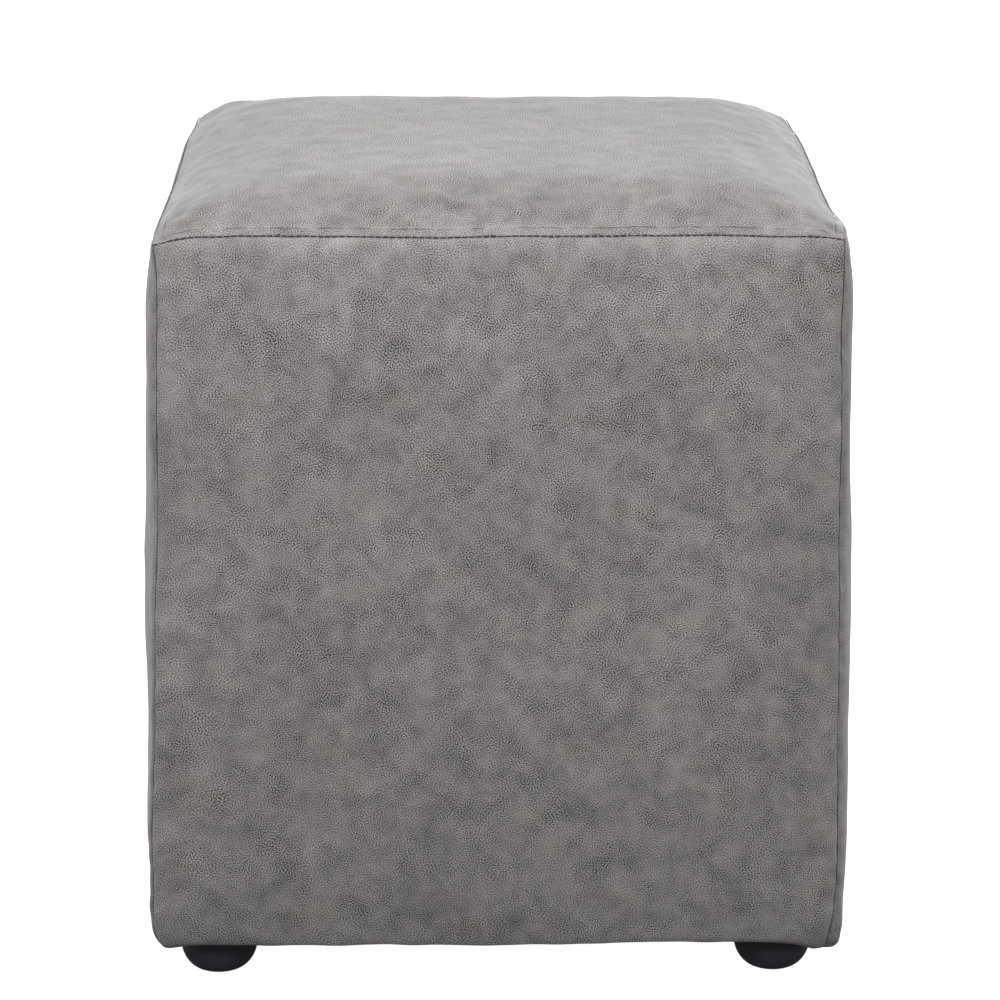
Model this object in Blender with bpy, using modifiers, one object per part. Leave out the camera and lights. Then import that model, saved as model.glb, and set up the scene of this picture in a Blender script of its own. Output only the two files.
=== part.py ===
"""A cube pouf stool: a padded top and four padded side panels over a flat underside, on four domed glides.

Sizes are in metres. The origin is on the floor under the middle of the stool, +Z is up and the front faces -Y.
Each panel is one filled pad. It meets its neighbours at a mitre that runs in from their seam to a core box, the
hollow that the stool's inside is.
"""

import math

import bmesh
import bpy
from mathutils import Vector

# Driving sizes
SEAM_HEIGHT = 0.4430  # floor to the seam round the top
GLIDE_HEIGHT = 0.0255  # floor to the lower edge of the panels
CROWN = 0.025  # how far the top panel rises over its seam
CROWN_FLATNESS = 5  # the higher, the more of the top is nearly level
CROWN_ROUNDNESS = 0.45  # the lower, the fuller the top's rim
RIM_REACH = 0.006  # over about this far from its seam the top climbs at a slant before it rounds over
SEAM_HALF_TOP = 0.1905  # middle to a corner seam, at the top
SEAM_HALF_FOOT = 0.1960  # middle to a corner seam, at the lower edge
GAP = 0.0003  # between neighbouring pieces

# How a side panel rounds over beside its seams
FULLNESS = 0.008  # how far it stands out past its seams
BELLY = 0.0045  # what the padding adds at its middle
SEAM_REACH = 0.035  # how far from a corner seam the fullness is reached
TOP_REACH = 0.060  # the same, down from the top seam
HEM_REACH = 0.030  # how far up from the lower edge the panel is drawn in
HEM_DRAW = 0.007  # and how far in that is, at the edge itself

# How the corners hang
CORNER_SPAN = 0.028  # how much of an edge the corner pulls out of line
CORNER_DROOP = 0.003  # how far the top seam dips at a corner
CORNER_HANG = 0.0055  # how far the lower edge hangs down at a corner

# The core box that the mitres run in to
CORE_HALF = 0.158
CORE_TOP = SEAM_HEIGHT - 0.033
CORE_BOTTOM = GLIDE_HEIGHT + 0.024
MITRE_OPENING = 0.0008  # the mitres under the top and over the underside open this far towards the core
UNDERSIDE_RECESS = 0.0005  # the underside lies this far above the panels' lower edge

# Glides
GLIDE_INSET = 0.1635  # middle of the stool to the middle of a glide, along X and along Y
GLIDE_RADIUS = 0.0227
GLIDE_BASE_RADIUS = 0.0115  # of the flat that it stands on
GLIDE_DOME_HEIGHT = 0.0145
GLIDE_DOME_POWER = 1.9  # 2 is an ellipse, less is leaner
GLIDE_RIM = (0.0230, 0.0020)  # radius and thickness of the rim at its top
GLIDE_DOME_POINTS = 7
GLIDE_SIDES = 28

CELLS = 20  # each panel is this many cells across and up
MITRE_SHIFT = GAP / math.sqrt(2)  # each side of a mitre gives way by this much
CREASE_ANGLE = math.radians(50)  # an edge folded more than this is shaded as a crease
WELD = 0.00005  # points of a turned glide nearer than this are one

CLOTH = ("cover_cloth", (0.205, 0.190, 0.192), 0.9)
UNDERSIDE_CLOTH = ("underside_cloth", (0.035, 0.035, 0.037), 0.95)
GLIDE_PLASTIC = ("glide_plastic", (0.016, 0.016, 0.018), 0.4)


def clear_scene():
    for thing in list(bpy.data.objects):
        bpy.data.objects.remove(thing, do_unlink=True)


def material(name, colour, roughness):
    made = bpy.data.materials.new(name)
    made.use_nodes = True
    shader = made.node_tree.nodes["Principled BSDF"]
    shader.inputs["Base Color"].default_value = (*colour, 1)
    shader.inputs["Roughness"].default_value = roughness
    return made


def eased(t):
    """-1 to 1 again, with the cells made finer towards both ends."""
    return t * (3 - t * t) / 2


def rounded(distance, reach):
    """A quarter ellipse: 0 at a seam, upright there, and 1 from its reach on."""
    short = max(0.0, 1 - distance / reach)
    return math.sqrt(1 - short * short)


def corner_pull(s):
    """0 along an edge, rising to 1 at its two corners. s is -1 to 1 along the edge."""
    span = CORNER_SPAN / SEAM_HALF_TOP
    return max(0.0, (abs(s) - 1 + span) / span) ** 2


def core_top(u, v=1):
    """Height of the core box's upper edge. It dips at the corners with the seam over it."""
    return CORE_TOP - CORNER_DROOP * corner_pull(u) * corner_pull(v)


def core_bottom(u, v=1):
    """Height of the core box's lower edge. It dips at the corners with the panels' lower edge."""
    return CORE_BOTTOM - CORNER_HANG * corner_pull(u) * corner_pull(v)


def crowned(s):
    """The top panel's rise across one way: 0 at its seams, 1 in the middle and nearly flat between."""
    slant = 1 - math.exp((abs(s) - 1) * SEAM_HALF_TOP / RIM_REACH)
    return max(0.0, 1 - abs(s) ** CROWN_FLATNESS) ** CROWN_ROUNDNESS * slant


def skin_point(s, up):
    """A point of the right-hand side panel's outer face; s runs along it and up climbs it, each -1 to 1."""
    bottom = GLIDE_HEIGHT - CORNER_HANG * corner_pull(s)
    top = SEAM_HEIGHT - CORNER_DROOP * corner_pull(s)
    z = bottom + (top - bottom) * (up + 1) / 2
    share = (z - GLIDE_HEIGHT) / (SEAM_HEIGHT - GLIDE_HEIGHT)
    seam_half = SEAM_HALF_FOOT + (SEAM_HALF_TOP - SEAM_HALF_FOOT) * share
    seam_half -= HEM_DRAW * (1 - rounded(z - bottom, HEM_REACH))
    full = FULLNESS * rounded((1 - abs(s)) * seam_half, SEAM_REACH) * rounded(top - z, TOP_REACH)
    belly = BELLY * (1 - s * s) * (1 - up**4)
    return Vector((seam_half + full + belly, s * seam_half, z))


def side_panel_point(block):
    """The unit block's +X face becomes the skin, its -X face the flat back against the core box."""
    s, up = eased(block.y), eased(block.z)
    if block.x > 0:
        point = skin_point(s, up)
    else:
        z = core_bottom(s) + (core_top(s) - core_bottom(s)) * (up + 1) / 2
        point = Vector((CORE_HALF, s * CORE_HALF, z))
    point.y -= s * MITRE_SHIFT
    point.z -= up * MITRE_SHIFT
    return point


def top_panel_point(block):
    """The unit block's upper face becomes the crown and its lower face the flat under the pad."""
    u, v = eased(block.x), eased(block.y)
    if block.z > 0:
        seam = SEAM_HEIGHT - CORNER_DROOP * corner_pull(u) * corner_pull(v)
        rise = CROWN * crowned(u) * crowned(v)
        point = Vector((u * SEAM_HALF_TOP, v * SEAM_HALF_TOP, seam + rise))
    else:
        point = Vector((u * CORE_HALF, v * CORE_HALF, core_top(u, v) + MITRE_OPENING))
    point.z += MITRE_SHIFT
    return point


def underside_rim(s):
    """Where the underside meets the right-hand panel's lower edge, on that panel's mitre."""
    edge = skin_point(s, -1)
    core = Vector((CORE_HALF, s * CORE_HALF, core_bottom(s)))
    level = GLIDE_HEIGHT + UNDERSIDE_RECESS
    return edge.lerp(core, (level + 2 * MITRE_SHIFT - edge.z) / (core.z - edge.z))


def underside_point(block):
    """The unit block's lower face becomes the flat underside, its outline set in from the panels' lower edge."""
    u, v = eased(block.x), eased(block.y)
    if block.z > 0:
        return Vector((u * CORE_HALF, v * CORE_HALF, core_bottom(u, v) - MITRE_SHIFT - MITRE_OPENING))
    along_y = abs(u) >= abs(v)
    rim = underside_rim(v if along_y else u)
    x, y = (math.copysign(rim.x, u), rim.y) if along_y else (rim.y, math.copysign(rim.x, v))
    return Vector((x, y, GLIDE_HEIGHT + UNDERSIDE_RECESS))


def padded_mesh(name, cut_axes, flats, point_of):
    """A block cut into cells along two axes, its corners moved to the pad's own form.

    flats names the block's faces that stay flat, as (axis, side): each becomes one face again.
    """
    bm = bmesh.new()
    bmesh.ops.create_cube(bm, size=2)
    for axis in cut_axes:
        along = [e for e in bm.edges if abs(e.verts[0].co[axis] - e.verts[1].co[axis]) > 1]
        bmesh.ops.subdivide_edges(bm, edges=along, cuts=CELLS - 1, use_grid_fill=True)
    for axis, side in flats:
        flat = [f for f in bm.faces if all(v.co[axis] * side > 0.999 for v in f.verts)]
        bmesh.ops.dissolve_faces(bm, faces=flat)
    for vert in bm.verts:
        vert.co = point_of(vert.co)
    mesh = bpy.data.meshes.new(name)
    bm.to_mesh(mesh)
    bm.free()
    return mesh


def add_object(name, mesh, finish, parts, turn=0):
    thing = bpy.data.objects.new(name, mesh)
    thing.rotation_euler.z = turn
    mesh.materials.clear()
    mesh.materials.append(finish)
    mesh.shade_smooth()
    mesh.set_sharp_from_angle(angle=CREASE_ANGLE)
    parts.objects.link(thing)
    return thing


def add_cover(parts, stool):
    """The top panel and four side panels, which are one mesh turned about Z."""
    cloth = material(*CLOTH)
    top = padded_mesh("top_panel", (0, 1), [(2, -1)], top_panel_point)
    add_object("top_panel", top, cloth, parts).parent = stool
    side = padded_mesh("side_panel", (1, 2), [(0, -1)], side_panel_point)
    for quarter, name in enumerate(("right_panel", "back_panel", "left_panel", "front_panel")):
        add_object(name, side, cloth, parts, quarter * math.pi / 2).parent = stool


def add_underside(parts, stool):
    mesh = padded_mesh("underside", (0, 1), [(2, -1), (2, 1)], underside_point)
    add_object("underside", mesh, material(*UNDERSIDE_CLOTH), parts).parent = stool


def glide_profile():
    """Radius and height from the middle of the glide's top, out over its rim and down its dome to the floor."""
    top = GLIDE_HEIGHT + UNDERSIDE_RECESS - GAP
    rim_radius, rim_thickness = GLIDE_RIM
    points = [(0, top), (rim_radius, top), (rim_radius, top - rim_thickness), (GLIDE_RADIUS, top - rim_thickness)]
    for step in range(GLIDE_DOME_POINTS):
        depth = step / (GLIDE_DOME_POINTS - 1)
        share = (1 - depth**GLIDE_DOME_POWER) ** (1 / GLIDE_DOME_POWER)
        radius = GLIDE_BASE_RADIUS + (GLIDE_RADIUS - GLIDE_BASE_RADIUS) * share
        points.append((radius, GLIDE_DOME_HEIGHT * (1 - depth)))
    return points + [(0, 0)]


def glide_outline():
    """The profile as one run of edges in the XZ plane, ready to be turned."""
    points = [(radius, 0, height) for radius, height in glide_profile()]
    mesh = bpy.data.meshes.new("glide")
    mesh.from_pydata(points, [(i, i + 1) for i in range(len(points) - 1)], [])
    return mesh


def add_glides(parts, stool):
    plastic = material(*GLIDE_PLASTIC)
    outline = glide_outline()
    for depth_name, y in (("front", -GLIDE_INSET), ("back", GLIDE_INSET)):
        for side_name, x in (("left", -GLIDE_INSET), ("right", GLIDE_INSET)):
            glide = add_object(f"glide_{depth_name}_{side_name}", outline, plastic, parts)
            glide.parent = stool
            glide.location = (x, y, 0)
            screw = glide.modifiers.new("turned", "SCREW")
            screw.steps = screw.render_steps = GLIDE_SIDES
            screw.use_merge_vertices = True
            screw.merge_threshold = WELD


def main():
    clear_scene()
    parts = bpy.data.collections.new("cube_pouf_stool")
    bpy.context.scene.collection.children.link(parts)
    stool = bpy.data.objects.new("stool", None)
    parts.objects.link(stool)
    add_cover(parts, stool)
    add_underside(parts, stool)
    add_glides(parts, stool)


main()
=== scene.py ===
"""Looks of the cube pouf stool: five padded panels of suede-look cloth, the seams between them,
the cloth under the stool and its four glides.

Everything is in metres, +Z up, the front towards -Y. Each panel is a block of cells that is given
the panel's own form, filled like a cushion, smoothed, and then worked along its seams.
"""

import math

import bpy
import numpy as np
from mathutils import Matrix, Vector
from mathutils.kdtree import KDTree


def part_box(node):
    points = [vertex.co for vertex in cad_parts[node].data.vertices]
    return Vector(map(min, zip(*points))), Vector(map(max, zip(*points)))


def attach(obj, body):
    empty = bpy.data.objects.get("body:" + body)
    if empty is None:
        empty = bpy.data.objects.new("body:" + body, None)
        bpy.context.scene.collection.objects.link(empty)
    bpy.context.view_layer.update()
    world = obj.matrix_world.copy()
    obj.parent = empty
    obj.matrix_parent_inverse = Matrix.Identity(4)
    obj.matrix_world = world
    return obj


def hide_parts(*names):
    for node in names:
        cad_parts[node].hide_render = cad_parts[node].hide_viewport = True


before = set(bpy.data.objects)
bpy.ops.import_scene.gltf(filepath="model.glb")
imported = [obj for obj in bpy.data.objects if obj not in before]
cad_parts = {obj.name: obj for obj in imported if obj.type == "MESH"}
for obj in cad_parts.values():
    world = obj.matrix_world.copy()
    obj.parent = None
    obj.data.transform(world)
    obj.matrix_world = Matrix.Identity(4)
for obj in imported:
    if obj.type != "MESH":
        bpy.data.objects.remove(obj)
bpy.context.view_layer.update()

# ---- Sizes that the frame gives
TOP_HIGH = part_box("top_panel")[1]
FRONT_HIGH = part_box("front_panel")[1]
UNDER_LOW, UNDER_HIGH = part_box("underside")

# ---- Sizes of the cover
GAP = 0.0003  # between neighbouring pieces
MITRE_SHIFT = GAP / math.sqrt(2)  # how far each of two neighbours draws back for it
CROWN = 0.025  # how far the top rises over its seam
CROWN_FLATNESS = 5  # higher is flatter in the middle
CROWN_ROUNDNESS = 0.45  # lower is steeper at the rim
RIM_REACH = 0.006  # over about this far from its seam the top climbs at a slant
UNDERSIDE_RECESS = 0.0005  # the underside lies this much higher than the panels' lower edge
TOP_DEPTH = 0.033  # from the top seam down to the core box
FOOT_DEPTH = 0.024  # and from the lower edge up to it
SEAM_HEIGHT = TOP_HIGH.z - CROWN - MITRE_SHIFT  # floor to the top seam
SEAM_HALF_TOP = TOP_HIGH.x  # middle to a corner seam, at the top
SEAM_HALF_FOOT = 0.1960  # and at the lower edge
LOWER_EDGE = UNDER_LOW.z - UNDERSIDE_RECESS  # floor to the panels' lower edge
CORE_HALF = -FRONT_HIGH.y  # the core box that the panels' mitres run in to
CORE_TOP = SEAM_HEIGHT - TOP_DEPTH
CORE_BOTTOM = LOWER_EDGE + FOOT_DEPTH
MITRE_OPENING = 0.0008  # the top's back lies this much higher than the core box
SIDES = ("right", "back", "left", "front")  # in quarter turns from +X

# ---- How the side panels round over beside their seams
FULLNESS = 0.008  # how far a panel stands out from its seams
BELLY = 0.0045  # and how much further its middle does
SEAM_REACH = 0.035  # it rounds over within this far of a corner seam
TOP_REACH = 0.060  # of the top seam
HEM_REACH = 0.030  # and of its lower edge
HEM_DRAW = 0.007  # the lower edge is drawn in this far at the corners
HEM_DRAW_MIDDLE = 0.0015  # and this far between them
HEM_LIFT = 0.0014  # where it also lies this much higher
CORNER_SPAN = 0.028  # over this far from a corner
CORNER_DROOP = 0.003  # the top seam drops this much
CORNER_HANG = 0.0055  # and the lower edge this much

# ---- Cells and filling
CELLS = 60  # across and up each panel
EDGE_CELLS = 7  # this many cells at each end are finer
FINEST = 0.16  # the outermost cell's width, as a share of a middle one's
TURN_IN = 0.05  # share of the mitre that the cloth's turned edge takes
SMOOTHING = 2  # subdivision levels
SHARP_ANGLE = math.radians(50)  # edges sharper than this stay crisp
SWELL_CAP = 0.0012  # no point moves further than this while the panels fill
SWELL_EDGE = 0.020  # beside the seams the skin is held, and free from this far on
FILL_FRAMES = 20
PRESSURE = 4.0

# ---- Random fields: the shortest and the longest wave, how many there are, and a seed
WIDE_WAVES = (0.090, 0.220, 9, 40)
FINE_WAVES = (0.030, 0.070, 12, 50)
PUCKER_WAVES = (0.008, 0.016, 14, 0)
DENT_WAVES = (0.018, 0.045, 16, 20)
UNEVEN_WAVES = (0.030, 0.090, 9, 40)
RIM_WAVES = (0.012, 0.030, 16, 50)
UNDER_WAVES = (0.050, 0.160, 10, 90)
UNDER_EDGE_WAVES = (0.012, 0.030, 14, 91)
SIDE_SEED = 60  # plus the panel's quarter turn
TOP_SEED = 70

# ---- Sewing
SEAM_POINTS = 2001  # along each seam
STITCH_PITCH = 0.0040  # from one stitch to the next
STITCH_LENGTH = 0.0016
STITCH_RADIUS = 0.00022
STITCH_SIDES = 6
STITCH_END_INSET = 0.45  # a stitch's ends are drawn in by this share of its radius
STITCH_END_DOME = 0.6  # and stand out by this share
STITCH_RISE = 0.0009  # how far out of the seam's depth the thread lies
BARE_STITCHES = 3  # at each end of a seam this many don't show

# ---- The cloth beside the seams
ALLOWANCE = 0.0055  # width of the seam allowance that shows through the top
ALLOWANCE_STEP = 0.00040  # how far it stands up
ALLOWANCE_EDGE = 0.0014  # over how far it falls away
HOLLOW = 0.00085  # how deep the top dips behind the seam allowance
HOLLOW_PLACE = 0.0145  # from the seam
HOLLOW_WIDTH = 0.0060
UNEVENNESS = 0.5  # of the ridge and the dip
RIM_DENT = 0.00040  # the dents in that dip
RIM_DENT_LEAST = 0.3  # their share away from the crumpled place
RIM_DENT_MOST = 1.2  # and at it
CRUMPLED_PLACE = (-0.115, -0.170, SEAM_HEIGHT + 0.014)  # here the dip is dented the most
CRUMPLED_REACH = 0.13
PUCKER = 0.00035  # the puckers beside the seams
PUCKER_START = 0.0015  # full from this far out
PUCKER_REACH = 0.007  # and fading over about this much
DENT = 0.00013  # the small dents of the open cloth
DENT_TOP_SHARE = 0.6  # and their share on the top
DENT_START = 0.003  # they begin this far from the seams
DENT_SPAN = 0.015  # and are full this much further in
SEAM_HOLD = 0.002  # closer to a seam than this the ridge and the tucks fade out
TUCKS = (  # a place, how far round it the top's cloth is nipped in, and how deep
    ((SEAM_HALF_TOP - 0.0045, 0.0075 - SEAM_HALF_TOP, SEAM_HEIGHT + 0.003), 0.0075, 0.0014),
    ((0.003 - SEAM_HALF_TOP, 0.002 - SEAM_HALF_TOP, SEAM_HEIGHT), 0.0080, 0.0011),
)
EAR_PLACE = (SEAM_HALF_FOOT, -SEAM_HALF_FOOT, LOWER_EDGE)  # the right panel folds round its seam here
EAR_REACH = 0.034
EAR_PULL = (0.0042, 0, -0.0024)
EAR_HOLD = 0.006  # closer to the seam than this it is held

# ---- How the cover has settled: a place, how far round it the cloth gives, and the pull there
TUGS = (
    # the corners of the top seam
    ((-SEAM_HALF_TOP, -SEAM_HALF_TOP, SEAM_HEIGHT), 0.026, (-0.0004, 0, -0.0016)),
    ((-SEAM_HALF_TOP, -SEAM_HALF_TOP, SEAM_HEIGHT), 0.012, (-0.0010, -0.0006, -0.0006)),
    ((-SEAM_HALF_TOP, 0.005 - SEAM_HALF_TOP, SEAM_HEIGHT - 0.005), 0.019, (-0.0013, 0, 0)),
    ((SEAM_HALF_TOP, -SEAM_HALF_TOP, SEAM_HEIGHT), 0.030, (0.0006, 0, 0.0012)),
    ((SEAM_HALF_TOP, 0.024 - SEAM_HALF_TOP, SEAM_HEIGHT), 0.055, (0.0028, 0, 0)),
    ((SEAM_HALF_TOP, SEAM_HALF_TOP, SEAM_HEIGHT), 0.120, (-0.0022, 0, 0)),
    ((SEAM_HALF_TOP, SEAM_HALF_TOP, SEAM_HEIGHT), 0.070, (0, 0, -0.0026)),
    ((SEAM_HALF_TOP, SEAM_HALF_TOP, SEAM_HEIGHT), 0.016, (0, 0, -0.0016)),
    ((-SEAM_HALF_TOP, SEAM_HALF_TOP, SEAM_HEIGHT), 0.100, (0.0028, 0, 0)),
    ((-SEAM_HALF_TOP, SEAM_HALF_TOP, SEAM_HEIGHT), 0.055, (0, 0, -0.0018)),
    # the top
    ((0.181, 0.180, SEAM_HEIGHT + 0.008), 0.036, (0, 0, 0.0036)),
    ((-0.177, 0.177, SEAM_HEIGHT + 0.009), 0.038, (0, 0, 0.0052)),
    ((-0.125, 0.100, TOP_HIGH.z), 0.115, (0, 0, 0.0022)),
    # the corners of the lower edge
    ((-SEAM_HALF_FOOT, -SEAM_HALF_FOOT, LOWER_EDGE), 0.050, (-0.0012, 0, 0)),
    ((SEAM_HALF_FOOT, -SEAM_HALF_FOOT, LOWER_EDGE), 0.040, (-0.0018, 0, -0.0022)),
    ((-SEAM_HALF_FOOT, SEAM_HALF_FOOT, LOWER_EDGE), 0.045, (0, 0.0016, 0)),
    # the side panels
    ((0.2065, -0.100, 0.400), 0.100, (-0.0010, 0, 0)),
    ((0.2000, -0.172, 0.050), 0.036, (-0.0010, 0, 0)),
    ((-0.2065, -0.100, 0.370), 0.100, (0.0012, 0, 0)),
    ((-0.2065, -0.100, 0.165), 0.100, (-0.0009, 0, 0)),
    ((-0.2000, -0.172, 0.050), 0.036, (0.0012, 0, 0)),
)
SETTLING_WIDE = 0.00045  # how far the whole cover wanders, in wide waves
SETTLING_FINE = 0.00015  # and in finer ones
FOOT_LEAN = 0.0012  # the foot leans this far to the left
LEAN_HEIGHT = 0.16  # from this height down
LEFT_SEAM_OUT = 0.0042  # the front left corner seam runs this far out at its foot
LEFT_SEAM_TOP = 0.37  # from this height down
LEFT_SEAM_FADE = 0.26  # and fully so this much lower
LEFT_SEAM_FRONT = 0.050  # the front panel gives this far in from it
LEFT_SEAM_SIDE = 0.012  # and the left panel this far

# ---- Glides
GLIDE_SHIFTS = {"glide_front_left": -0.0014, "glide_front_right": -0.0026}  # along X, as fitted
GLIDE_SIDES = 64
GLIDE_RINGS = 12  # down its dome
GLIDE_RADIUS = 0.0224
GLIDE_FLAT_RADIUS = 0.0108
GLIDE_DOME_HEIGHT = 0.0150
GLIDE_DOME_POWER = 1.80  # 2 is an ellipse, lower is more pointed
GLIDE_COLLAR = 0.0088  # height of the collar under the stool
GLIDE_FLARE = 0.0016  # the collar's upper edge stands out this much further than the solid's
GLIDE_TAPER = 0.0012  # and its lower edge lies this much further in than its upper one
GLIDE_ROUND = 0.0006  # radius of the collar's lower edge
ROUND_MIDDLE = 0.3  # a rounded edge's middle is cut in by this share of its radius
COLLAR_CREASE = 0.4  # and the crease under the collar lies this share lower
GLIDE_SHARP_ANGLE = math.radians(35)

# ---- The cloth under the stool
UNDER_CELLS = 80
UNDER_THICK = 0.0010
UNDER_EASE = 0.0012  # its edge keeps this far inside the space it has
UNDER_CORNER_EASE = 0.0030  # and its corners this much further
UNDER_RIPPLE = 0.0006
UNDER_EDGE_RIPPLE = 0.0003
UNDER_EDGE_REACH = 0.012

# ---- Colours
SUEDE = (0.204, 0.190, 0.193)
SUEDE_WARM = (0.205, 0.191, 0.181)
GLIDE_BLACK = (0.055, 0.053, 0.069)
THREAD_GREY = (0.16, 0.15, 0.15)
UNDER_BLACK = (0.03, 0.03, 0.032)

# ---- Speckles: how fine, how much detail, its roughness and how twisted
CLOUDS = (13, 2)
BLOTCHES = (62, 6, 0.75, 0.3)
ROUGH_PATCHES = (42, 3, 0.6)
WARM_PATCHES = (30, 3)
NAP = (900, 0)
PLASTIC_SPECK = (900, 2)
THREAD_PLY = (2600, 1)
UNDER_FIBRE = (700, 3, 0.7)

# ---- The suede-look cloth
CLOTH_SHIFTS = {  # where on the cloth each panel is cut
    "right": (0.9, 0.1, 0.3),
    "left": (1.4, 0.5, 2.2),
    "front": (0, 0, 0),
    "back": (0.2, 1.7, 0.6),
    "top": (2.1, 0.8, 0.4),
}
SUEDE_LEVEL = 0.99  # the cloth's shade before its marks
CLOUD_DEPTH = 0.55
BLOTCH_DEPTH = 1.85
ROUGH_SPAN = (-0.1, 0.16)  # smooth up to the first level of the speckle, rough from the second
ROUGH_DARK = -0.10
WARM_SPAN = (-0.02, 0.2)  # grey up to the first, warm from the second
GRAIN_SCALE = 475
GRAIN_FREQUENCY = 1.5
GRAIN_WANDER = 30  # how often the grain grows tighter and looser
GRAIN_SWAY = 0.006
GRAIN_SPAN = (0.2, 0.8)
GRAIN_LEVELS = (-0.85, 1.05)  # the grain's hollows and its ridges
GRAIN_STRENGTH = 0.82
GRAIN_STRENGTH_ROUGH = 0.42  # and this much more in the rough patches
TOP_GRAIN = 2.2  # the top's grain stands out this much more away from its seams
TOP_GRAIN_SPAN = (0.02, 0.11)
TOP_CALM = 0.66  # towards a top seam the grain drops to this share
TOP_CALM_SPAN = (-0.01, 0.045)
SIDE_GRAIN = 0.45  # and to this share on the right and left panels, towards their corner seams
SIDE_CALM_SPAN = (0.003, 0.020)
ROLL_PAINTED_LIGHT = 0.14  # painted light: the cloth is this much paler beside a top seam, where its rounded roll faces up into the light
CORNER_PAINTED_LIGHT = 0.05  # and this much beside a corner seam, painted light too
PAINTED_LIGHT_SPAN = (0.001, 0.016)
SEAM_DARK = 0.20  # painted shadow: the cloth's shade in the seams
SEAM_DARK_CORE = 0.35  # it is that dark up to this share of the reaches below
SEAM_DARK_TOP = 0.00095  # how far the dark reaches between the stitches of the top seam
SEAM_DARK_STITCH = 0.00022  # how far it reaches at a stitch
SEAM_DARK_CORNER = 0.00075  # and in the corner seams
DASH_START = 0.10  # the dark widens from this share of the pitch beside a stitch's middle
DASH_END = 0.20  # to this share
RIDGE_SHADOW_DARK = 0.50  # painted shade: the most that the line is darkened where the seam allowance ends, at the step down of its ridge
RIDGE_SHADOW_SPAN = (-0.08, 0.10)  # dark up to the first level of the blotches, gone from the second
RIDGE_HIGHLIGHT_LIFT = 0.12  # painted highlight: the line behind it is this much paler, where the ridge catches the light
RIDGE_HIGHLIGHT_PLACE = ALLOWANCE + 0.0010
LINE_SPAN = (0.0002, 0.0008)  # from a line's middle: full up to the first, gone from the second

# ---- Floor and softboxes
FLOOR_SIZE = 24
FLOOR_HEIGHT = -0.0002
FLOOR_GREY = 0.4
FLOOR_GLOW = 0.99
SOFTBOXES = (  # name, place, what it is aimed at, its width and height, and its power
    ("softbox_key", (-0.12, -1.3, 1.3), (0, 0, 0.3), (1.2, 0.8), 16.2),
    ("softbox_near", (-0.12, -0.7, 1.4), (0, 0, 0.3), (1.2, 0.8), 7.3),
    ("softbox_back", (0, 1.3, 1.5), (0, 0, 0.4), (1.6, 0.8), 1.5),
    ("softbox_back_low", (0, 1.8, 0.9), (0, 0, 0.45), (1.6, 0.8), 6.6),
    ("softbox_rear_fill", (0.1, 1.9, 0.33), (0, 0, 0.22), (1.6, 0.2), 13),
    ("softbox_right_fill", (1.8, 0.35, 0.33), (0, 0, 0.22), (1.6, 0.2), 7),
    ("softbox_left_fill", (-1.8, 0.35, 0.33), (0, 0, 0.22), (1.6, 0.2), 4),
)
HORIZON_SPAN = (-0.15, 0.15)  # the light from below gives way to the light from above in this span
LIGHT_FROM_BELOW = 0.06
LIGHT_FROM_ABOVE = 0.44
BACKDROP_WHITE = 1.0

# ---- Camera, fitted to the photograph's seams, sides, lower edge and glides
CAMERA_PLACE = (-0.0271, -2.346, 0.8910)
CAMERA_TILT = math.radians(74.461)
CAMERA_TURN = math.radians(-0.724)
CAMERA_LENS = 142.56
FILM_WIDTH = 36


# ======== Small helpers


def lerp(a, b, share):
    return a + (b - a) * share


def smooth(t):
    t = np.clip(t, 0, 1)
    return t * t * (3 - 2 * t)


def rounded(distance, reach):
    """A quarter ellipse: 0 at a seam, upright there, and 1 from its reach on."""
    short = np.clip(1 - distance / reach, 0, 1)
    return np.sqrt(1 - short * short)


def near(points, place, reach):
    """1 at a place, fading to 0 at its reach."""
    away = np.linalg.norm(points - np.array(place), axis=1)
    return smooth(1 - away / reach)


def corner_pull(s):
    """0 along an edge, rising to 1 at its two corners."""
    span = CORNER_SPAN / SEAM_HALF_TOP
    return np.maximum(0, (np.abs(s) - 1 + span) / span) ** 2


def crowned(s):
    """The top's rise across one way: 0 at its seams, 1 in the middle and nearly flat between."""
    slant = 1 - np.exp((np.abs(s) - 1) * SEAM_HALF_TOP / RIM_REACH)
    return np.maximum(0, 1 - np.abs(s) ** CROWN_FLATNESS) ** CROWN_ROUNDNESS * slant


def graded(t):
    """Cell corners spaced evenly from -1 to 1, moved so that the outermost cells are the finest."""
    steps = np.arange(CELLS)
    from_end = np.minimum(steps, CELLS - 1 - steps)
    widths = lerp(FINEST, 1, np.clip(from_end / EDGE_CELLS, 0, 1))
    corners = np.concatenate([[0], np.cumsum(widths)])
    corners = corners / corners[-1] * 2 - 1
    return corners[np.rint((t + 1) / 2 * CELLS).astype(int)]


def waves(points, kind, seed=0):
    """A smooth random field, about -1 to 1: the sum of waves of random length and heading."""
    shortest, longest, count, own_seed = kind
    draw = np.random.default_rng(own_seed + seed)
    total = np.zeros(len(points))
    for _ in range(count):
        heading = draw.normal(size=3)
        heading /= np.linalg.norm(heading)
        length = draw.uniform(shortest, longest)
        total += np.sin(points @ heading * (2 * math.pi / length) + draw.uniform(0, 2 * math.pi))
    return total / math.sqrt(count / 2)


def turned(points, quarter):
    """Points turned about Z by so many quarter turns."""
    c, s = [(1, 0), (0, 1), (-1, 0), (0, -1)][quarter % 4]
    x, y, z = points.T
    return np.stack([c * x - s * y, s * x + c * y, z], axis=1)


def points_of(piece):
    points = np.empty(len(piece.data.vertices) * 3)
    piece.data.vertices.foreach_get("co", points)
    return points.reshape(-1, 3)


def set_points(piece, points):
    piece.data.vertices.foreach_set("co", points.ravel())
    piece.data.update()


def normals_of(piece):
    normals = np.empty(len(piece.data.vertices) * 3)
    piece.data.vertices.foreach_get("normal", normals)
    return normals.reshape(-1, 3)


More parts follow.
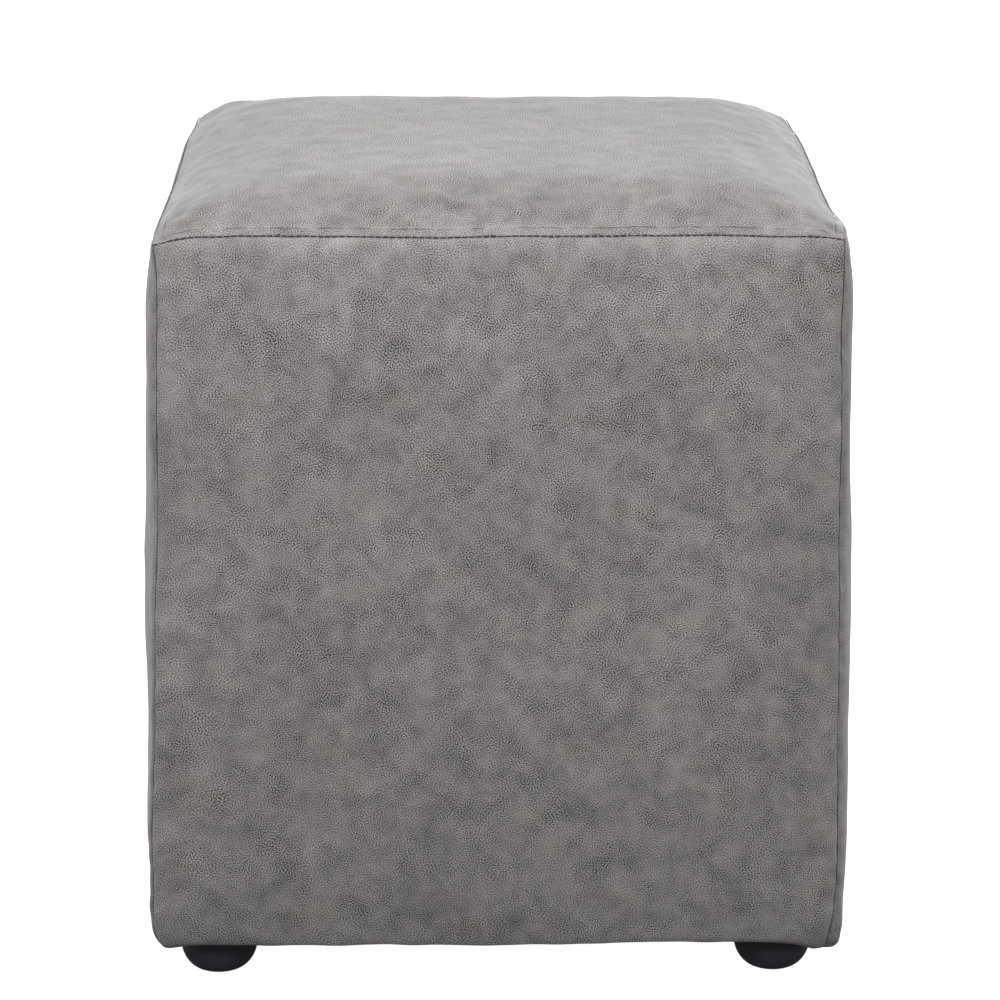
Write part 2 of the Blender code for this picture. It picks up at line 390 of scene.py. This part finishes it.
def write_on_points(piece, name, kind, field, values):
    """Keeps a value for each point, which the materials read by its name."""
    attribute = piece.data.attributes.new(name, kind, "POINT")
    attribute.data.foreach_set(field, np.asarray(values, np.float32).ravel())


def alone(piece):
    """Selects this piece and nothing else."""
    bpy.ops.object.select_all(action="DESELECT")
    piece.select_set(True)
    bpy.context.view_layer.objects.active = piece


def apply_modifier(piece, modifier):
    alone(piece)
    bpy.ops.object.modifier_apply(modifier=modifier.name)


def name_piece(name):
    piece = bpy.context.object
    piece.name = piece.data.name = name
    return piece


# ======== The form of the panels


def side_skin(s, up):
    """Outer face of the right-hand panel: s runs along it and up climbs it, each -1 to 1."""
    bottom = LOWER_EDGE - CORNER_HANG * corner_pull(s) + HEM_LIFT * (1 - s**4)
    top = SEAM_HEIGHT - CORNER_DROOP * corner_pull(s)
    z = lerp(bottom, top, (up + 1) / 2)
    share = (z - LOWER_EDGE) / (SEAM_HEIGHT - LOWER_EDGE)
    half = lerp(SEAM_HALF_FOOT, SEAM_HALF_TOP, share)
    half = half - lerp(HEM_DRAW_MIDDLE, HEM_DRAW, s**4) * (1 - rounded(z - bottom, HEM_REACH))
    full = FULLNESS * rounded((1 - np.abs(s)) * half, SEAM_REACH) * rounded(top - z, TOP_REACH)
    belly = BELLY * (1 - s * s) * (1 - up**4)
    return np.stack([half + full + belly, s * half, z], axis=1)


def side_points(block):
    """The block's upper face becomes the right-hand panel's skin, and its lower face the flat back."""
    s, up, depth = graded(block[:, 0]), graded(block[:, 1]), -block[:, 2:]
    low = CORE_BOTTOM - CORNER_HANG * corner_pull(s)
    high = CORE_TOP - CORNER_DROOP * corner_pull(s)
    core = np.stack([np.full_like(s, CORE_HALF), s * CORE_HALF, lerp(low, high, (up + 1) / 2)], axis=1)
    points = lerp(side_skin(s, up), core, depth)
    points[:, 1] -= s * MITRE_SHIFT
    points[:, 2] -= up * MITRE_SHIFT
    return points


def top_points(block):
    """The same for the top. It starts lower than its crown by what the filling then adds."""
    u, v, depth = graded(block[:, 0]), graded(block[:, 1]), -block[:, 2:]
    droop = CORNER_DROOP * corner_pull(u) * corner_pull(v)
    height = SEAM_HEIGHT - droop + (CROWN - SWELL_CAP) * crowned(u) * crowned(v)
    skin = np.stack([u * SEAM_HALF_TOP, v * SEAM_HALF_TOP, height], axis=1)
    core = np.stack([u * CORE_HALF, v * CORE_HALF, CORE_TOP - droop + MITRE_OPENING], axis=1)
    points = lerp(skin, core, depth)
    points[:, 2] += MITRE_SHIFT
    return points


def beside_left_seam(points):
    """1 on the front left corner seam, fading to 0 a little way in from it."""
    front = (points[:, 0] + SEAM_HALF_FOOT) / LEFT_SEAM_FRONT
    side = np.maximum(0, points[:, 1] + SEAM_HALF_FOOT) / LEFT_SEAM_SIDE
    return smooth(1 - np.hypot(front, side))


def settled(points):
    """The uneven hang of the whole cover. Panels and seams all go through it, so they stay together."""
    moved = points.copy()
    for place, reach, pull in TUGS:
        moved += near(points, place, reach)[:, None] * np.array(pull)
    moved[:, 0] -= FOOT_LEAN * smooth((LEAN_HEIGHT - points[:, 2]) / LEAN_HEIGHT)
    low = smooth((LEFT_SEAM_TOP - points[:, 2]) / LEFT_SEAM_FADE)
    moved[:, 0] -= LEFT_SEAM_OUT * low * beside_left_seam(points)
    for axis in range(3):
        moved[:, axis] += SETTLING_WIDE * waves(points, WIDE_WAVES, axis)
        moved[:, axis] += SETTLING_FINE * waves(points, FINE_WAVES, axis)
    return moved


# ======== Making a panel


def cut_block(name):
    """A flat square of cells from -1 to 1 with its edge turned down, open at the back."""
    bpy.ops.object.select_all(action="DESELECT")
    bpy.ops.mesh.primitive_grid_add(x_subdivisions=CELLS, y_subdivisions=CELLS, size=2)
    piece = name_piece(name)
    bpy.ops.object.mode_set(mode="EDIT")
    bpy.ops.mesh.select_all(action="DESELECT")
    bpy.ops.mesh.select_mode(type="EDGE")
    bpy.ops.mesh.select_non_manifold()
    bpy.ops.transform.edge_crease(value=1)
    bpy.ops.mesh.extrude_edges_move(TRANSFORM_OT_translate={"value": (0, 0, -TURN_IN)})
    bpy.ops.mesh.extrude_edges_move(TRANSFORM_OT_translate={"value": (0, 0, TURN_IN - 1)})
    bpy.ops.object.mode_set(mode="OBJECT")
    return piece


def close_back(piece):
    alone(piece)
    bpy.ops.object.mode_set(mode="EDIT")
    bpy.ops.mesh.select_mode(type="EDGE")
    bpy.ops.mesh.select_all(action="DESELECT")
    bpy.ops.mesh.select_non_manifold()
    bpy.ops.mesh.edge_face_add()
    bpy.ops.mesh.select_all(action="SELECT")
    bpy.ops.mesh.normals_make_consistent(inside=False)
    bpy.ops.object.mode_set(mode="OBJECT")


def free_share(block):
    """How free each point is to move: 0 at the seams, the turned edge and the back, 1 on open skin."""
    edge = np.minimum(1 - np.abs(graded(block[:, 0])), 1 - np.abs(graded(block[:, 1])))
    return np.where(block[:, 2] < 0, 0, smooth(edge * SEAM_HALF_TOP / SWELL_EDGE))


def stuff(piece, free):
    """Fills the panel like a cushion: edge and back are held, and the skin swells up to the cap."""
    start = points_of(piece)
    held = piece.vertex_groups.new(name="held")
    for index, share in enumerate(free):
        held.add([index], 1 - share, "REPLACE")
    cloth = piece.modifiers.new("filling", "CLOTH")
    cloth.settings.quality = 6
    cloth.settings.mass = 0.3
    cloth.settings.tension_stiffness = 15
    cloth.settings.compression_stiffness = 15
    cloth.settings.bending_stiffness = 2
    cloth.settings.use_pressure = True
    cloth.settings.uniform_pressure_force = PRESSURE
    cloth.settings.vertex_group_mass = "held"
    cloth.settings.effector_weights.gravity = 0
    cloth.point_cache.frame_start = 1
    cloth.point_cache.frame_end = FILL_FRAMES
    for step in range(1, FILL_FRAMES + 1):
        bpy.context.scene.frame_set(step)
    apply_modifier(piece, cloth)
    bpy.context.scene.frame_set(1)
    move = points_of(piece) - start
    far = np.maximum(np.linalg.norm(move, axis=1, keepdims=True), 1e-9)
    set_points(piece, start + move * np.tanh(far / SWELL_CAP) * SWELL_CAP / far)
    piece.vertex_groups.clear()


def lay_cloth(piece, block):
    """Writes on each point its place on the flat cloth that the panel was cut from, in metres."""
    column = np.rint((block[:, 0] + 1) / 2 * CELLS).astype(int)
    row = np.rint((block[:, 1] + 1) / 2 * CELLS).astype(int)
    skin = block[:, 2] == 0
    grid = np.zeros((CELLS + 1, CELLS + 1, 3))
    grid[column[skin], row[skin]] = points_of(piece)[skin]
    place = np.zeros((len(block), 3))
    for axis in (0, 1):
        run = np.cumsum(np.linalg.norm(np.diff(grid, axis=axis), axis=2), axis=axis)
        run = np.insert(run, 0, 0, axis=axis)
        middle = np.take(run, [CELLS // 2], axis=axis)
        place[:, axis] = (run - middle)[column, row]
    write_on_points(piece, "cloth", "FLOAT_VECTOR", "vector", place)


def finish_panel(piece):
    smoothing = piece.modifiers.new("smoothing", "SUBSURF")
    smoothing.levels = smoothing.render_levels = SMOOTHING
    apply_modifier(piece, smoothing)
    close_back(piece)
    bpy.ops.object.shade_smooth_by_angle(angle=SHARP_ANGLE)
    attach(piece, "root")
    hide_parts(piece.name.removesuffix("_cloth"))


def make_panel(side, form, quarter, tree, along, seed, cloth):
    """One panel: a block of cells is given its form and turned to its side, then filled and worked."""
    piece = cut_block(side + "_panel_cloth")
    block = points_of(piece)
    set_points(piece, turned(form(block), quarter))
    stuff(piece, free_share(block))
    lay_cloth(piece, block)
    finish_panel(piece)
    set_points(piece, settled(points_of(piece)))
    work_seams(piece, tree, along, seed)
    piece.data.materials.append(cloth)


def make_panels(cloths, lines):
    tree, along = seam_tree(lines)
    for quarter, side in enumerate(SIDES):
        make_panel(side, side_points, quarter, tree, along, SIDE_SEED + quarter, cloths[side])
    make_panel("top", top_points, 0, tree, along, TOP_SEED, cloths["top"])


# ======== Seams


def seam_lines():
    """The seams' paths by name, before they settle: four round the top and one down each corner."""
    run = np.linspace(-1, 1, SEAM_POINTS)
    lines = {}
    for quarter, side in enumerate(SIDES):
        lines["top_" + side] = turned(side_skin(run, np.ones_like(run)), quarter)
        lines["corner_" + side] = turned(side_skin(np.ones_like(run), run), quarter)
    return lines


def arc_length(line):
    steps = np.linalg.norm(np.diff(line, axis=0), axis=1)
    return np.concatenate([[0], np.cumsum(steps)])


def seam_tree(lines):
    """Nearest-point search over the settled seams, and how far along its own seam each point lies."""
    places = [settled(line) for line in lines.values()]
    along = np.concatenate([arc_length(line) for line in places])
    places = np.concatenate(places)
    tree = KDTree(len(places))
    for index, place in enumerate(places):
        tree.insert(place, index)
    tree.balance()
    return tree, along


def note_seams(piece, tree, along):
    """Writes on each point how far its nearest seam is, how far along it, and 1 if it is a top seam."""
    found = [tree.find(point) for point in points_of(piece)]
    away = np.array([distance for _, _, distance in found], np.float32)
    run = [along[index] for _, index, _ in found]
    open_seam = [(index // SEAM_POINTS) % 2 == 0 for _, index, _ in found]
    for name, values in (("from_seam", away), ("along_seam", run), ("open_seam", open_seam)):
        write_on_points(piece, name, "FLOAT", "value", values)
    return away


def work_seams(piece, tree, along, seed):
    """Puckers beside the seams, small dents further in, and what is special to the top and the right."""
    away = note_seams(piece, tree, along)
    points, normals = points_of(piece), normals_of(piece)
    is_top = piece.name.startswith("top")
    fade = smooth(away / PUCKER_START) * np.exp(-away / PUCKER_REACH)
    rise = PUCKER * fade * waves(points, PUCKER_WAVES, seed)
    open_skin = smooth((away - DENT_START) / DENT_SPAN)
    dent = DENT * (DENT_TOP_SHARE if is_top else 1)
    rise += dent * open_skin * waves(points, DENT_WAVES, seed)
    if is_top:
        rise += rim_rise(points, away, seed)
    if piece.name.startswith("right"):
        fold = near(points, EAR_PLACE, EAR_REACH) * smooth(away / EAR_HOLD)
        points += fold[:, None] * np.array(EAR_PULL)
    set_points(piece, points + normals * rise[:, None])


def rim_rise(points, away, seed):
    """The seam allowance that shows through the top, the dented dip behind it, and the tucks."""
    unevenness = 1 + UNEVENNESS * waves(points, UNEVEN_WAVES, seed)
    band = smooth(away / SEAM_HOLD) * (1 - smooth((away - ALLOWANCE) / ALLOWANCE_EDGE))
    hollow = np.exp(-(((away - HOLLOW_PLACE) / HOLLOW_WIDTH) ** 2))
    rise = (ALLOWANCE_STEP * band - HOLLOW * hollow) * unevenness
    crumpled = near(points, CRUMPLED_PLACE, CRUMPLED_REACH)
    dents = RIM_DENT * lerp(RIM_DENT_LEAST, RIM_DENT_MOST, crumpled)
    rise += dents * hollow * waves(points, RIM_WAVES, seed)
    for place, reach, deep in TUCKS:
        rise -= deep * near(points, place, reach) * smooth(away / SEAM_HOLD)
    return rise


# ======== Sewing


def stitch():
    """One stitch as it crosses the seam: a short bar of thread, round and drawn in at its ends."""
    bpy.ops.object.select_all(action="DESELECT")
    bpy.ops.mesh.primitive_cylinder_add(vertices=STITCH_SIDES, radius=STITCH_RADIUS, depth=STITCH_LENGTH)
    piece = name_piece("stitch")
    bpy.ops.object.mode_set(mode="EDIT")
    bpy.ops.mesh.select_mode(type="FACE")
    bpy.ops.mesh.select_all(action="DESELECT")
    bpy.ops.object.mode_set(mode="OBJECT")
    for face in piece.data.polygons:
        face.select = abs(face.normal.z) > 0.9
    bpy.ops.object.mode_set(mode="EDIT")
    bpy.ops.mesh.inset(
        thickness=STITCH_RADIUS * STITCH_END_INSET,
        depth=STITCH_RADIUS * STITCH_END_DOME,
        use_individual=True,
    )
    bpy.ops.object.mode_set(mode="OBJECT")
    return piece


def stitch_places(line, outward):
    """Where a seam's stitches lie, and each one's own axes: along the seam, out of it and across it."""
    arc = arc_length(line)
    bare = STITCH_PITCH * BARE_STITCHES
    run = np.arange(bare, arc[-1] - bare, STITCH_PITCH)
    places = np.stack([np.interp(run, arc, line[:, axis]) for axis in range(3)], axis=1)
    further = run + STITCH_PITCH / 4
    along = np.stack([np.interp(further, arc, line[:, axis]) for axis in range(3)], axis=1) - places
    along /= np.linalg.norm(along, axis=1, keepdims=True)
    out = outward - along * (along @ outward)[:, None]
    out /= np.linalg.norm(out, axis=1, keepdims=True)
    return places, along, out, np.cross(along, out)


def sew(lines, thread):
    """The stitches that show in the top seam, as one piece. Those of the corners lie hidden in them."""
    model = stitch()
    shape = points_of(model)
    faces = [tuple(face.vertices) for face in model.data.polygons]
    points, polygons = [], []
    for quarter, side in enumerate(SIDES):
        outward = turned(np.array([[1.0, 0, 1.0]]), quarter)[0]
        places, along, out, across = stitch_places(settled(lines["top_" + side]), outward)
        for place, ahead, up, over in zip(places, along, out, across):
            first = len(points) * len(shape)
            points.append(place + up * STITCH_RISE + shape @ np.stack([ahead, up, over]))
            polygons += [[first + corner for corner in face] for face in faces]
    mesh = model.data
    bpy.data.objects.remove(model)
    bpy.data.meshes.remove(mesh)
    mesh = bpy.data.meshes.new("seam_stitches")
    mesh.from_pydata(np.concatenate(points).tolist(), [], polygons)
    piece = bpy.data.objects.new("seam_stitches", mesh)
    bpy.context.scene.collection.objects.link(piece)
    piece.data.materials.append(thread)
    piece.data.shade_smooth()
    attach(piece, "root")


# ======== Glides


def glide_steps(upper_radius, top):
    """Radius and height of each ring, from the collar's foot down to the flat."""
    radius, foot = upper_radius - GLIDE_TAPER, top - GLIDE_COLLAR
    yield radius, foot + GLIDE_ROUND
    yield radius - GLIDE_ROUND * ROUND_MIDDLE, foot + GLIDE_ROUND * ROUND_MIDDLE
    yield radius - GLIDE_ROUND, foot
    yield GLIDE_RADIUS, foot - GLIDE_ROUND * COLLAR_CREASE
    yield GLIDE_RADIUS, GLIDE_DOME_HEIGHT
    bulge = 2 / GLIDE_DOME_POWER
    for step in range(1, GLIDE_RINGS + 1):
        turn = math.pi / 2 * step / GLIDE_RINGS
        out, down = math.cos(turn) ** bulge, math.sin(turn) ** bulge
        yield lerp(GLIDE_FLAT_RADIUS, GLIDE_RADIUS, out), GLIDE_DOME_HEIGHT * (1 - down)


def make_glide(name, plastic):
    """A moulded glide: a collar under the stool, then a dome down to a small flat, ring by ring."""
    low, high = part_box(name)
    middle = ((low.x + high.x) / 2 + GLIDE_SHIFTS.get(name, 0), (low.y + high.y) / 2)
    radius, height = (high.x - low.x) / 2 + GLIDE_FLARE, high.z
    bpy.ops.object.select_all(action="DESELECT")
    bpy.ops.mesh.primitive_circle_add(
        vertices=GLIDE_SIDES, radius=radius, fill_type="NGON", location=(*middle, height)
    )
    piece = name_piece(name + "_moulded")
    bpy.ops.object.transform_apply(location=True)
    bpy.ops.object.mode_set(mode="EDIT")
    bpy.ops.mesh.select_all(action="SELECT")
    for next_radius, next_height in glide_steps(radius, height):
        bpy.ops.mesh.extrude_region_move(TRANSFORM_OT_translate={"value": (0, 0, next_height - height)})
        grow = next_radius / radius
        bpy.ops.transform.resize(value=(grow, grow, 1), center_override=(*middle, next_height))
        radius, height = next_radius, next_height
    bpy.ops.mesh.select_all(action="SELECT")
    bpy.ops.mesh.normals_make_consistent(inside=False)
    bpy.ops.object.mode_set(mode="OBJECT")
    bpy.ops.object.shade_smooth_by_angle(angle=GLIDE_SHARP_ANGLE)
    piece.data.materials.append(plastic)
    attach(piece, "root")
    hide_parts(name)


# ======== The cloth under the stool


def make_underside(cloth):
    """The flat black cloth that closes the bottom, stretched between the panels' turned-in edges."""
    half = UNDER_HIGH.x - UNDER_EASE
    bpy.ops.object.select_all(action="DESELECT")
    bpy.ops.mesh.primitive_grid_add(
        x_subdivisions=UNDER_CELLS, y_subdivisions=UNDER_CELLS, size=2 * half, location=(0, 0, UNDER_LOW.z)
    )
    piece = name_piece("underside_cloth")
    bpy.ops.object.transform_apply(location=True)
    points = points_of(piece)
    u, v = points[:, 0] / half, points[:, 1] / half
    points[:, 0] = u * (half - UNDER_CORNER_EASE * corner_pull(v))
    points[:, 1] = v * (half - UNDER_CORNER_EASE * corner_pull(u))
    inner = (1 - u**2) * (1 - v**2)
    pull = np.exp((np.maximum(np.abs(u), np.abs(v)) - 1) * half / UNDER_EDGE_REACH)
    points[:, 2] += UNDER_THICK + UNDER_RIPPLE * inner * (1 + waves(points, UNDER_WAVES))
    points[:, 2] += UNDER_EDGE_RIPPLE * pull * (1 + waves(points, UNDER_EDGE_WAVES))
    set_points(piece, points)
    thickness = piece.modifiers.new("thickness", "SOLIDIFY")
    thickness.thickness = UNDER_THICK
    thickness.offset = -1
    apply_modifier(piece, thickness)
    bpy.ops.object.shade_smooth_by_angle(angle=SHARP_ANGLE)
    piece.data.materials.append(cloth)
    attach(piece, "root")
    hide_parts("underside")


# ======== Materials


def add_node(tree, kind, settings=None, **inputs):
    """A node with its settings and inputs, each a value or another node's output. i0 is input 0."""
    made = tree.nodes.new(kind)
    for key, value in (settings or {}).items():
        setattr(made, key, value)
    for key, value in inputs.items():
        socket = made.inputs[int(key[1:])] if key[1:].isdigit() else made.inputs[key]
        if isinstance(value, bpy.types.NodeSocket):
            tree.links.new(value, socket)
        else:
            socket.default_value = value
    return made


def reckon(tree, operation, a, b=0):
    return add_node(tree, "ShaderNodeMath", {"operation": operation}, i0=a, i1=b).outputs[0]


def plus(tree, a, b):
    return reckon(tree, "ADD", a, b)


def times(tree, a, b):
    return reckon(tree, "MULTIPLY", a, b)


def scaled(tree, vector, share):
    """A vector or a colour, times a number."""
    return add_node(tree, "ShaderNodeVectorMath", {"operation": "SCALE"}, i0=vector, Scale=share).outputs[0]


def slope_of(tree, value, start, end, low, high):
    """The value, taken from start..end to low..high with soft ends."""
    settings = {"interpolation_type": "SMOOTHSTEP"}
    ends = {"i1": start, "i2": end, "i3": low, "i4": high}
    return add_node(tree, "ShaderNodeMapRange", settings, i0=value, **ends).outputs[0]


def noted(tree, name):
    """What was written on the piece's points under this name."""
    return add_node(tree, "ShaderNodeAttribute", {"attribute_name": name})


def object_place(tree):
    return add_node(tree, "ShaderNodeTexCoord").outputs["Object"]


def speckle(tree, place, scale, detail, roughness=0.5, twist=0.0):
    """Noise about 0, roughly -0.5 to 0.5."""
    looks = {"Scale": scale, "Detail": detail, "Roughness": roughness, "Distortion": twist}
    made = add_node(tree, "ShaderNodeTexNoise", Vector=place, **looks)
    return reckon(tree, "SUBTRACT", made.outputs[0], 0.5)


def new_material(name, roughness):
    made = bpy.data.materials.new(name)
    made.use_nodes = True
    shader = made.node_tree.nodes["Principled BSDF"]
    shader.inputs["Roughness"].default_value = roughness
    return made, made.node_tree, shader


def raise_surface(tree, shader, height, strength, distance):
    bump = add_node(tree, "ShaderNodeBump", Strength=strength, Distance=distance, Height=height)
    tree.links.new(bump.outputs[0], shader.inputs["Normal"])


def worm_grain(tree, place):
    """The suede's short bent ridges and hollows, on a place that wanders so that none run straight."""
    wander = add_node(tree, "ShaderNodeTexNoise", Vector=place, Scale=GRAIN_WANDER, Detail=1).outputs["Color"]
    sway = scaled(tree, wander, GRAIN_SWAY)
    swayed = add_node(tree, "ShaderNodeVectorMath", {"operation": "ADD"}, i0=place, i1=sway).outputs[0]
    looks = {"Scale": GRAIN_SCALE, "Frequency": GRAIN_FREQUENCY, "Anisotropy": 0}
    worms = add_node(tree, "ShaderNodeTexGabor", {"gabor_type": "2D"}, Vector=swayed, **looks)
    return slope_of(tree, worms.outputs["Value"], *GRAIN_SPAN, *GRAIN_LEVELS)


def painted_seam_shadow(tree, seam, open_seam):
    """Painted shadow of the seams: dark dashes between the top seam's stitches, where the seam opens, and a
    dark line down the corners.
    """
    beat = reckon(tree, "PINGPONG", noted(tree, "along_seam").outputs["Fac"], STITCH_PITCH / 2)
    beside = (STITCH_PITCH * DASH_START, STITCH_PITCH * DASH_END)
    dash = slope_of(tree, beat, *beside, SEAM_DARK_STITCH, SEAM_DARK_TOP)
    reach = slope_of(tree, open_seam, 0, 1, SEAM_DARK_CORNER, dash)
    return slope_of(tree, reckon(tree, "DIVIDE", seam, reach), SEAM_DARK_CORE, 1, SEAM_DARK, 1)


def line_beside(tree, seam, place, level):
    """A fine line along the seams, so far from them: the level there, 1 elsewhere."""
    away = reckon(tree, "ABSOLUTE", reckon(tree, "SUBTRACT", seam, place))
    return slope_of(tree, away, *LINE_SPAN, level, 1)


def suede_material(side, corner_grain=1.0, open_grain=1.0):
    """Suede-look microfibre: worm-like grain, rougher and darker in patches, over soft clouds.

    The grain drops to corner_grain towards corner seams, and grows to open_grain away from all seams.
    """
    made, tree, shader = new_material("suede_" + side, roughness=0.85)
    cloth = noted(tree, "cloth").outputs["Vector"]
    seam = noted(tree, "from_seam").outputs["Fac"]
    open_seam = noted(tree, "open_seam").outputs["Fac"]
    place = add_node(tree, "ShaderNodeMapping", Vector=cloth, Location=CLOTH_SHIFTS[side]).outputs["Vector"]
    blotches = speckle(tree, place, *BLOTCHES)
    rough = slope_of(tree, speckle(tree, place, *ROUGH_PATCHES), *ROUGH_SPAN, 0, 1)

    strength = plus(tree, times(tree, rough, GRAIN_STRENGTH_ROUGH), GRAIN_STRENGTH)
    strength = times(tree, strength, slope_of(tree, seam, *TOP_GRAIN_SPAN, 1, open_grain))
    by_corner = slope_of(tree, seam, *SIDE_CALM_SPAN, corner_grain, 1)
    by_top = slope_of(tree, seam, *TOP_CALM_SPAN, TOP_CALM, 1)
    strength = times(tree, strength, slope_of(tree, open_seam, 0, 1, by_corner, by_top))

    shade = times(tree, worm_grain(tree, place), strength)
    shade = plus(tree, shade, times(tree, rough, ROUGH_DARK))
    shade = plus(tree, shade, times(tree, speckle(tree, place, *CLOUDS), CLOUD_DEPTH))
    shade = plus(tree, shade, times(tree, blotches, BLOTCH_DEPTH))
    shade = plus(tree, shade, SUEDE_LEVEL)
    # painted light: paler beside the seams, where the rounded cloth catches more light
    pale = slope_of(tree, open_seam, 0, 1, CORNER_PAINTED_LIGHT, ROLL_PAINTED_LIGHT)
    shade = plus(tree, shade, slope_of(tree, seam, *PAINTED_LIGHT_SPAN, pale, 0))
    if side == "top":
        # painted shade and painted highlight along the ridge of the seam allowance on the top
        ridge_shadow = slope_of(tree, blotches, *RIDGE_SHADOW_SPAN, 1 - RIDGE_SHADOW_DARK, 1)
        shade = times(tree, shade, line_beside(tree, seam, ALLOWANCE, ridge_shadow))
        shade = times(tree, shade, line_beside(tree, seam, RIDGE_HIGHLIGHT_PLACE, 1 + RIDGE_HIGHLIGHT_LIFT))
    # painted shadow in the seams' grooves
    shade = times(tree, shade, painted_seam_shadow(tree, seam, open_seam))

    warmth = slope_of(tree, speckle(tree, place, *WARM_PATCHES), *WARM_SPAN, 0, 1)
    colours = {"i6": (*SUEDE, 1), "i7": (*SUEDE_WARM, 1)}
    tint = add_node(tree, "ShaderNodeMix", {"data_type": "RGBA"}, i0=warmth, **colours).outputs[2]
    tree.links.new(scaled(tree, tint, shade), shader.inputs["Base Color"])
    raise_surface(tree, shader, speckle(tree, place, *NAP), strength=0.3, distance=0.0003)
    shader.inputs["Sheen Weight"].default_value = 0.40
    shader.inputs["Sheen Roughness"].default_value = 0.5
    shader.inputs["Specular IOR Level"].default_value = 0.3
    return made


def suede_cloths():
    """One stretch of the cloth for each panel, by the panel's side."""
    cloths = {side: suede_material(side, corner_grain=SIDE_GRAIN) for side in ("right", "left")}
    cloths |= {side: suede_material(side) for side in ("front", "back")}
    cloths["top"] = suede_material("top", open_grain=TOP_GRAIN)
    return cloths


def speckled_material(name, colour, specks, roughness, contrast):
    """A plain colour, speckled lighter and darker. Gives the speckle too, for the surface to follow."""
    made, tree, shader = new_material(name, roughness)
    speck = speckle(tree, object_place(tree), *specks)
    shade = plus(tree, times(tree, speck, contrast), 1)
    tree.links.new(scaled(tree, colour, shade), shader.inputs["Base Color"])
    return made, tree, shader, speck


def plastic_material():
    made, tree, shader, speck = speckled_material(
        "glide_plastic_moulded", GLIDE_BLACK, PLASTIC_SPECK, roughness=0.4, contrast=0.3
    )
    raise_surface(tree, shader, speck, strength=0.25, distance=0.0002)
    return made


def thread_material():
    return speckled_material("sewing_thread_grey", THREAD_GREY, THREAD_PLY, roughness=0.7, contrast=0.8)[0]


def underside_material():
    made, tree, shader, fibre = speckled_material(
        "bonded_cloth_black", UNDER_BLACK, UNDER_FIBRE, roughness=0.95, contrast=0.8
    )
    raise_surface(tree, shader, fibre, strength=0.5, distance=0.0004)
    return made


# ======== Stage


def add_floor():
    bpy.ops.object.select_all(action="DESELECT")
    bpy.ops.mesh.primitive_plane_add(size=FLOOR_SIZE, location=(0, 0, FLOOR_HEIGHT))
    floor = name_piece("floor")
    made, _, shader = new_material("floor_paper", roughness=0.9)
    shader.inputs["Base Color"].default_value = (FLOOR_GREY, FLOOR_GREY, FLOOR_GREY, 1)
    shader.inputs["Emission Color"].default_value = (1, 1, 1, 1)
    shader.inputs["Emission Strength"].default_value = FLOOR_GLOW
    floor.data.materials.append(made)
    floor.visible_diffuse = False
    floor.visible_glossy = False


def add_softbox(name, place, aim, size, power):
    light = bpy.data.lights.new(name, "AREA")
    light.shape = "RECTANGLE"
    light.size, light.size_y = size
    light.energy = power
    box = bpy.data.objects.new(name, light)
    box.location = place
    box.rotation_euler = (Vector(aim) - Vector(place)).to_track_quat("-Z", "Y").to_euler()
    bpy.context.scene.collection.objects.link(box)


def add_backdrop():
    """Soft light from all round, stronger from above, and plain white where the camera sees it."""
    world = bpy.data.worlds.new("studio")
    bpy.context.scene.world = world
    world.use_nodes = True
    tree = world.node_tree
    background = tree.nodes["Background"]
    direction = add_node(tree, "ShaderNodeTexCoord").outputs["Generated"]
    height = add_node(tree, "ShaderNodeSeparateXYZ", Vector=direction).outputs["Z"]
    ends = {"i1": HORIZON_SPAN[0], "i2": HORIZON_SPAN[1], "i3": LIGHT_FROM_BELOW, "i4": LIGHT_FROM_ABOVE}
    level = add_node(tree, "ShaderNodeMapRange", Value=height, **ends).outputs[0]
    seen = add_node(tree, "ShaderNodeLightPath").outputs["Is Camera Ray"]
    mix = add_node(tree, "ShaderNodeMix", {"data_type": "FLOAT"}, i0=seen, i2=level, i3=BACKDROP_WHITE)
    background.inputs["Color"].default_value = (1, 1, 1, 1)
    tree.links.new(mix.outputs[0], background.inputs["Strength"])


def add_camera():
    camera = bpy.data.cameras.new("camera")
    camera.lens = CAMERA_LENS
    camera.sensor_width = FILM_WIDTH
    holder = bpy.data.objects.new("camera", camera)
    holder.location = CAMERA_PLACE
    holder.rotation_euler = (CAMERA_TILT, 0, CAMERA_TURN)
    bpy.context.scene.collection.objects.link(holder)
    bpy.context.scene.camera = holder
    bpy.context.scene.view_settings.view_transform = "Standard"


def main():
    add_camera()
    add_floor()
    for softbox in SOFTBOXES:
        add_softbox(*softbox)
    add_backdrop()
    cloths = suede_cloths()
    lines = seam_lines()
    make_panels(cloths, lines)
    sew(lines, thread_material())
    make_underside(underside_material())
    plastic = plastic_material()
    for name in sorted(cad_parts):
        if name.startswith("glide"):
            make_glide(name, plastic)


main()
